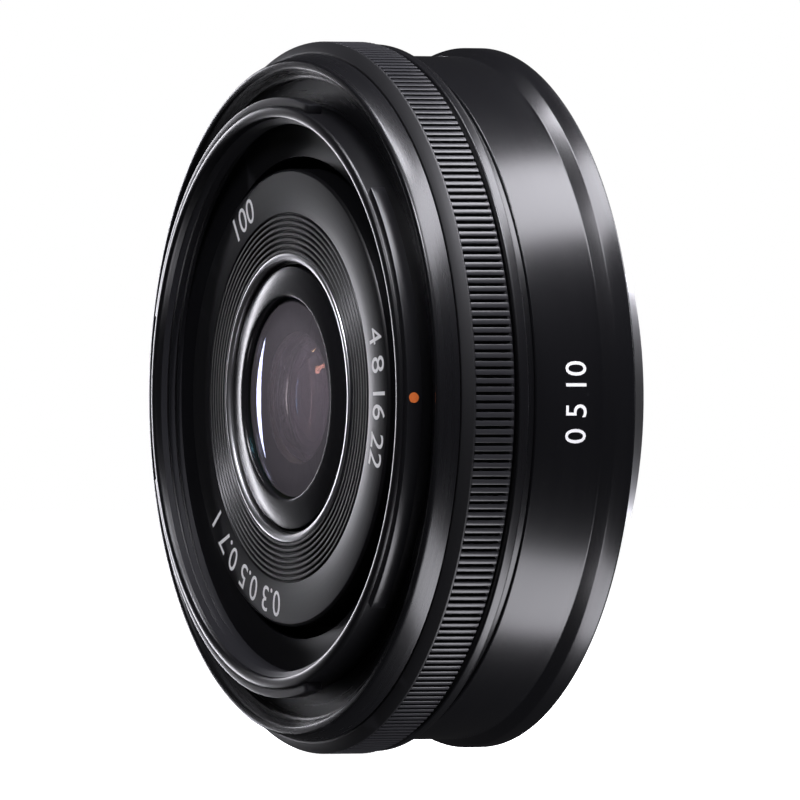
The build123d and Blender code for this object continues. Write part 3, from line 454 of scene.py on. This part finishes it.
bpy.ops.mesh.select_non_manifold()
bpy.ops.mesh.fill_holes(sides=4)
bpy.ops.mesh.select_all(action="SELECT")
bpy.ops.mesh.normals_make_consistent(inside=False)
bpy.ops.object.mode_set(mode="OBJECT")
smooth(thread, 40)


def arc_block(name, inner, outer, start, end, middle, half_span, steps=48):
    """A ring sector between two angles, counted from +X towards +Z as seen from the front."""
    clear_selection()
    bpy.ops.mesh.primitive_plane_add(size=MM)
    block = bpy.context.object
    block.name = name
    corners = ((inner, start), (outer, start), (inner, end), (outer, end))
    for vertex, (radius, station) in zip(block.data.vertices, corners):
        vertex.co = (radius * MM, station * MM, 0)
    block.data.transform(Matrix.Rotation(-math.radians(middle - half_span), 4, "Y"))
    bpy.ops.object.mode_set(mode="EDIT")
    bpy.ops.mesh.select_all(action="SELECT")
    bpy.ops.mesh.spin(steps=steps, angle=2 * math.radians(half_span), center=(0, 0, 0), axis=(0, 1, 0))
    bpy.ops.mesh.select_all(action="SELECT")
    bpy.ops.mesh.remove_doubles(threshold=0.0005 * MM)
    bpy.ops.mesh.normals_make_consistent(inside=False)
    bpy.ops.object.mode_set(mode="OBJECT")
    return block


filter_black = anodised("filter_ring_anodised", 0.3, 0.05, worn=0.5)
for number, middle in enumerate(LUG_TURNS):
    lug = arc_block(
        f"filter_ring_lug_{number + 1}", tube_radius - 0.1, lug_radius - INDEX_PROUD,
        ring_front + LUG_FRONT, ring_front + LUG_BACK, middle, LUG_HALF_SPAN,
    )
    break_edges(lug, 0.12)
    smooth(lug)
    fit(lug, "lens_body", "black_anodised", filter_black)
fit(ring, "lens_body", "black_anodised", filter_black, "filter_ring")
fit(thread, "lens_body", "black_anodised", filter_black)


# ---------------------------------------------------------------- focus ring
# The ring that the fingers turn: a matte chamfer in front, 267 straight ribs milled into a black
# aluminium band, and a plain skirt behind. The rib tops are rubbed a little brighter.
RIB_COUNT = 267
RIB_SHARE = 0.6
RIB_HEIGHT = 0.36
RIB_ROUNDING = 0.07
grip_radius, chamfer_front, skirt_back = reach("focus_ring")
rib_front, rib_back = -15.9, -12.1
rib_floor = grip_radius - RIB_HEIGHT
grip = turned(
    "focus_ring_band",
    (
        (29.9, chamfer_front),
        (30.36, chamfer_front),
        (grip_radius - 0.05, rib_front - 0.04),
        (grip_radius - 0.02, rib_front + 0.1),
        (rib_floor, rib_front + 0.14),
        (rib_floor, rib_back - 0.06),
        (30.9, rib_back),
        (30.4, rib_back + 0.02),
        (30.4, skirt_back),
        (29.9, skirt_back),
    ),
    0.05,
)
rib_half = RIB_SHARE * math.pi * grip_radius / RIB_COUNT
clear_selection()
bpy.ops.mesh.primitive_cube_add(size=MM)
rib = bpy.context.object
rib.name = "focus_ring_ribs"
for vertex in rib.data.vertices:
    x, y, z = vertex.co
    vertex.co = (
        (grip_radius if x > 0 else rib_floor - 0.05) * MM,
        (rib_back - 0.05 if y > 0 else rib_front + 0.1) * MM,
        (rib_half if z > 0 else -rib_half) * MM,
    )
bevel = rib.modifiers.new("rounded_top", "BEVEL")
bevel.width = RIB_ROUNDING * MM
bevel.segments = 2
bpy.ops.object.modifier_apply(modifier="rounded_top")
clear_selection()
bpy.ops.object.empty_add(rotation=(0, math.tau / RIB_COUNT, 0))
step = bpy.context.object
row = rib.modifiers.new("ribs", "ARRAY")
row.count = RIB_COUNT
row.use_relative_offset = False
row.use_object_offset = True
row.offset_object = step
bpy.context.view_layer.objects.active = rib
bpy.ops.object.modifier_apply(modifier="ribs")
bpy.data.objects.remove(step)
smooth(rib, 40)
fit(grip, "focus_ring_body", "black_anodised", anodised("grip_anodised", 0.46, 0.05), "focus_ring")
rib_black = anodised("rib_anodised", 0.3, 0.04, base=(0.018, 0.018, 0.020, 1), worn=0.5)
fit(rib, "focus_ring_body", "black_anodised", rib_black)

# ---------------------------------------------------------------- trim ring and rear barrel
# A thin trim ring closes the gap behind the focus ring. The rear barrel is a drawn and turned
# tube, satin anodised, that flares to the band where the lens meets the camera.
trim_radius, trim_front, trim_back = reach("step_ring")
trim = turned(
    "step_ring_shell",
    (
        (29.8, trim_front),
        (trim_radius - 0.12, trim_front),
        (trim_radius, trim_front + 0.12),
        (trim_radius, trim_back - 0.12),
        (trim_radius - 0.12, trim_back),
        (29.8, trim_back),
    ),
    0.04,
)
fit(trim, "lens_body", "black_anodised", anodised("trim_anodised", 0.28, 0.05), "step_ring")

band_radius, barrel_inner_front, barrel_end = reach("rear_barrel")
barrel_radius = 30.1
barrel_front = -9.5
flare_front, flare_back = -2.9, -2.0
barrel = turned(
    "rear_barrel_shell",
    (
        (29.4, barrel_inner_front),
        (29.79, barrel_inner_front),
        (29.79, barrel_front),
        (barrel_radius - 0.14, barrel_front),
        (barrel_radius, barrel_front + 0.14),
        (barrel_radius, flare_front - 0.3),
        (barrel_radius - 0.02, flare_front - 0.1),
        (barrel_radius + 0.02, flare_front),
        (band_radius - 0.04, flare_back - 0.05),
        (band_radius, flare_back + 0.08),
        (band_radius, -0.34),
        (band_radius - 0.24, barrel_end),
        (28.55, barrel_end),
        (28.55, -1.6),
        (27.7, -1.6),
        (27.7, -2.4),
        (29.4, -2.4),
    ),
    0.04,
)
barrel_black = anodised("barrel_anodised", 0.25, 0.05, worn=0.2)
fit(barrel, "lens_body", "black_anodised", barrel_black, "rear_barrel")

# ---------------------------------------------------------------- name ring, bright ring, retainer
# The front plate is turned aluminium with seven fine baffle grooves round the glass. A thin
# bright ring parts it from the coned retainer, which screws down on the first element.
GROOVE_COUNT = 7
GROOVE_PITCH = 0.5
name_radius, _, plate_back = reach("name_ring")
bright_radius, bright_front, bright_back = reach("trim_ring")
face_front, face_back = bright_front + 0.1, -18.8


def face_station(radius):
    """The station of the front plate's slightly coned face at a radius."""
    return face_front + (face_back - face_front) * (radius - bright_radius) / (19.9 - bright_radius)


grooves = []
for number in range(GROOVE_COUNT):
    inner = bright_radius + 0.25 + GROOVE_PITCH * number
    for offset, depth in ((0.0, 0.0), (0.09, 0.19), (0.21, 0.19), (0.3, 0.0)):
        grooves.append((inner + offset, face_station(inner + offset) + depth))
plate = turned(
    "name_ring_plate",
    (
        (bright_radius, face_front),
        *grooves,
        (19.85, face_back),
        (name_radius, face_back + 0.2),
        (name_radius, plate_back),
        (19.3, plate_back),
        (19.3, -17.9),
        (11.75, -17.9),
        (11.75, -18.3),
        (bright_radius, -18.3),
    ),
    0.02,
)
plate_black = anodised("plate_anodised", 0.34, 0.1, worn=0.1, sweep=0.3, relief=0.35)
fit(plate, "lens_body", "front_plate_black", plate_black, "name_ring")

bright_inner = bright_radius - 0.75
bright = turned(
    "trim_ring_band",
    (
        (bright_inner, bright_back),
        (bright_inner, bright_front + 0.2),
        (bright_inner + 0.2, bright_front + 0.04),
        (bright_radius - 0.3, bright_front),
        (bright_radius - 0.1, bright_front + 0.06),
        (bright_radius, bright_front + 0.2),
        (bright_radius, bright_back),
    ),
    0.02,
)
bright_metal, shader = new_material("bright_turned_aluminium")
place, y, radius, unrolled = turning_place(2.0, 3500.0)
marks = noise(unrolled, 1.0, 3.0)
feed(
    shader,
    Base_Color=blend_colour(marks, (0.48, 0.48, 0.49, 1), (0.64, 0.64, 0.66, 1)),
    Metallic=1.0,
    Roughness=marks * 0.12 + 0.3,
    Normal=bump(marks, 0.15, 0.02 * MM),
)
fit(bright, "lens_body", "bright_ring", bright_metal, "trim_ring")

retainer_radius, cone_front, retainer_back = reach("front_retainer")
retainer = turned(
    "front_retainer_cone",
    (
        (8.9, -18.4),
        (8.9, cone_front + 0.14),
        (9.05, cone_front),
        (9.35, cone_front + 0.02),
        (retainer_radius, -18.7),
        (retainer_radius, -18.15),
        (10.0, -18.15),
        (10.0, retainer_back),
        (9.02, retainer_back),
        (9.02, -18.4),
    ),
    0.03,
)
cone_black = anodised("cone_anodised", 0.24, 0.1, base=(0.008, 0.008, 0.009, 1), worn=0.3)
fit(retainer, "lens_body", "front_plate_black", cone_black, "front_retainer")


# ---------------------------------------------------------------- scale marks
# Plain numbers of a distance and an aperture scale on the front plate and the barrel, pressed
# thinly and filled with white paint after the anodising.
GLYPH_SHARE = 0.7  # a digit's height in a letter size of 1
PAINT_THICK = 0.01
PLATE_NUMBER_RADIUS = 18.3
BARREL_NUMBER_STATION, BARREL_NUMBER_DROP = -5.6, 0.4


def painted_numbers(name, text, height, lay):
    """Numbers as a thin mesh; lay gives the place of a point from its reading, top and lift in mm."""
    clear_selection()
    bpy.ops.object.text_add()
    words = bpy.context.object
    words.name = name
    words.data.body = text
    words.data.size = height / GLYPH_SHARE
    words.data.extrude = PAINT_THICK
    words.data.align_x = "CENTER"
    words.data.resolution_u = 4
    bpy.ops.object.convert(target="MESH")
    for vertex in words.data.vertices:
        along, up, lift = vertex.co
        vertex.co = Vector(lay(along, up - height / 2, lift)) * MM
    bpy.ops.object.mode_set(mode="EDIT")
    bpy.ops.mesh.select_all(action="SELECT")
    bpy.ops.mesh.remove_doubles(threshold=0.0002 * MM)
    bpy.ops.mesh.normals_make_consistent(inside=False)
    bpy.ops.object.mode_set(mode="OBJECT")
    return words


def plate_lay(radius, middle):
    """Numbers that run clockwise on the front plate, tops outward."""

    def lay(along, up, lift):
        angle = math.radians(middle) - along / radius
        out = radius + up
        return out * math.cos(angle), face_station(out) - lift, out * math.sin(angle)

    return lay


def barrel_lay(along, up, lift):
    """Numbers that climb the right side of the barrel, tops to the front."""
    angle = (along - BARREL_NUMBER_DROP) / barrel_radius
    out = barrel_radius + lift
    return out * math.cos(angle), BARREL_NUMBER_STATION - up, out * math.sin(angle)


def dress(name, material):
    """Gives a node that stays as it is its material."""
    slots = nodes[name].material_slots
    if not slots:
        nodes[name].data.materials.append(material)
    for slot in slots:
        slot.material = material


white_paint, shader = new_material("white_fill_paint")
wear = noise(object_place()[0], 3200.0)
feed(
    shader,
    Base_Color=blend_colour(wear, (0.74, 0.74, 0.74, 1), (0.90, 0.90, 0.89, 1)),
    Roughness=wear * 0.2 + 0.45,
    Normal=bump(wear, 0.2, 0.01 * MM),
)
for name, text, middle in (
    ("plate_numbers_top", "100", 121),
    ("plate_numbers_right", "4 8 16 22", 0),
    ("plate_numbers_foot", "0.3 0.5 0.7 1", -121),
):
    numbers = painted_numbers(name, text, 2.3, plate_lay(PLATE_NUMBER_RADIUS, middle))
    fit(numbers, "lens_body", "mark_white", white_paint)
barrel_numbers = painted_numbers("barrel_numbers", "0 5 10", 2.0, barrel_lay)
fit(barrel_numbers, "lens_body", "mark_white", white_paint)
dress("mount_mark", white_paint)

orange_paint, shader = new_material("orange_fill_paint")
wear = noise(object_place()[0], 2800.0)
feed(
    shader,
    Base_Color=blend_colour(wear, (0.50, 0.105, 0.018, 1), (0.66, 0.16, 0.03, 1)),
    Roughness=wear * 0.2 + 0.4,
    Normal=bump(wear, 0.2, 0.01 * MM),
)
dress("index_mark", orange_paint)


# ---------------------------------------------------------------- glass
# Six ground and polished elements of coated optical glass. The coating is a thin film, so what
# they reflect has a mauve or greenish tint, and their ground rims are blackened.
GLASS_TINTS = {
    "lens_1": (0.86, 0.78, 0.85),
    "lens_2": (0.78, 0.68, 0.76),
    "lens_3": (0.86, 0.80, 0.86),
    "lens_4": (0.86, 0.86, 0.80),
    "lens_5": (0.80, 0.86, 0.82),
    "lens_6": (0.86, 0.84, 0.90),
}
RIM_SHARE = 0.965
for name, tint in GLASS_TINTS.items():
    rim = reach(name)[0] * RIM_SHARE * MM
    glass, shader = new_material(f"{name}_coated_glass")
    place, (x, y, z) = object_place()
    radius = (x * x + z * z).math("SQRT")
    cloud = noise(place, 500.0)
    blackened = radius > rim
    clear = blend_colour(cloud, (*tint, 1), tuple(0.96 * part for part in tint) + (1,))
    feed(
        shader,
        Base_Color=blend_colour(blackened, clear, (0.004, 0.004, 0.004, 1)),
        Roughness=blackened * 0.5 + cloud * 0.01,
        IOR=1.55,
        Transmission_Weight=0.85,
        Thin_Film_Thickness=430.0,
        Thin_Film_IOR=1.38,
    )
    dress(name, glass)

# ---------------------------------------------------------------- mount and contacts
# The bayonet is turned brass with a satin plating that looks like brushed silver. The contact
# block is moulded, its pins are gilded, and a moulded cover closes the mount's inside.


def worked_metal(name, dark, bright, rough, spread, strength=0.08, along=5000.0):
    """Bare or plated metal with lathe marks round the axis and a little clouding."""
    material, shader = new_material(name)
    place, y, radius, unrolled = turning_place(0.6, along)
    marks = noise(unrolled, 1.0, 4.0)
    cloud = noise(place, 140.0)
    feed(
        shader,
        Base_Color=blend_colour(marks * 0.6 + cloud * 0.4, dark, bright),
        Metallic=1.0,
        Roughness=marks * spread + cloud * 0.06 + rough,
        Normal=bump(marks, strength, 0.02 * MM),
    )
    return material


def moulded(name, dark, light, rough, grain=1400.0, strength=0.15):
    """Moulded, printed or painted stuff with a fine grain and slight clouding."""
    material, shader = new_material(name)
    place = object_place()[0]
    fine = noise(place, grain, 4.0)
    cloud = noise(place, 160.0)
    feed(
        shader,
        Base_Color=blend_colour(fine * 0.5 + cloud * 0.5, dark, light),
        Roughness=fine * 0.12 + (cloud - 0.5) * 0.08 + rough,
        Normal=bump(fine, strength, 0.02 * MM),
    )
    return material


plated = worked_metal("plated_bayonet", (0.50, 0.50, 0.51, 1), (0.66, 0.66, 0.67, 1), 0.2, 0.12)
dress("mount_plate", plated)
gilding = worked_metal("gilt_contact", (0.62, 0.42, 0.14, 1), (0.80, 0.58, 0.22, 1), 0.16, 0.1)
dress("contact_pins", gilding)
black_moulding = moulded("moulded_black", (0.010, 0.010, 0.011, 1), (0.022, 0.022, 0.023, 1), 0.42)
for name in ("contact_block", "rear_cover"):
    dress(name, black_moulding)
steel = worked_metal("screw_steel", (0.30, 0.30, 0.31, 1), (0.46, 0.46, 0.47, 1), 0.26, 0.12)
for name in ("mount_screws", "front_screws", "cell_screws", "iris_screws", "board_screws"):
    dress(name, steel)

# ---------------------------------------------------------------- inside the barrel
# The chassis, cells and spacers are black anodised or moulded. The rods, screw and motors are
# steel, the pinion and nut are brass, the blades are thin blackened steel.
BLADE_COUNT = 7
inner_black = anodised("inner_anodised", 0.42, 0.06, worn=0.3)
for name in (
    "main_frame", "front_cell", "second_retainer", "focus_cell", "focus_spacer", "focus_retainer",
    "rear_cell", "rear_spacer", "rear_retainer", "rear_baffle", "iris_base", "iris_cover",
    "iris_drive_ring", "encoder_comb", "focus_ring_sensors", "motor_bracket",
):
    dress(name, inner_black)
blade_steel = worked_metal("blackened_blade", (0.014, 0.014, 0.015, 1), (0.03, 0.03, 0.032, 1), 0.36, 0.1)
for number in range(BLADE_COUNT):
    dress(f"iris_blade_{number + 1}", blade_steel)
rod_steel = worked_metal("ground_steel", (0.42, 0.42, 0.43, 1), (0.58, 0.58, 0.59, 1), 0.16, 0.08)
for name in ("main_guide_rod", "second_guide_rod", "lead_screw", "focus_motor", "iris_motor"):
    dress(name, rod_steel)
turned_brass = worked_metal("turned_brass", (0.46, 0.32, 0.12, 1), (0.62, 0.46, 0.19, 1), 0.24, 0.12)
for name in ("iris_pinion", "focus_nut"):
    dress(name, turned_brass)
mask_green = moulded("solder_mask", (0.008, 0.06, 0.03, 1), (0.015, 0.10, 0.05, 1), 0.3, 2200.0)
dress("circuit_board", mask_green)
dress("board_chips", moulded("chip_resin", (0.012, 0.012, 0.012, 1), (0.03, 0.03, 0.03, 1), 0.45, 2600.0))
amber_film = moulded("amber_film", (0.32, 0.13, 0.02, 1), (0.46, 0.21, 0.04, 1), 0.3, 900.0, 0.08)
for name in ("iris_flex", "focus_flex", "contact_flex"):
    dress(name, amber_film)
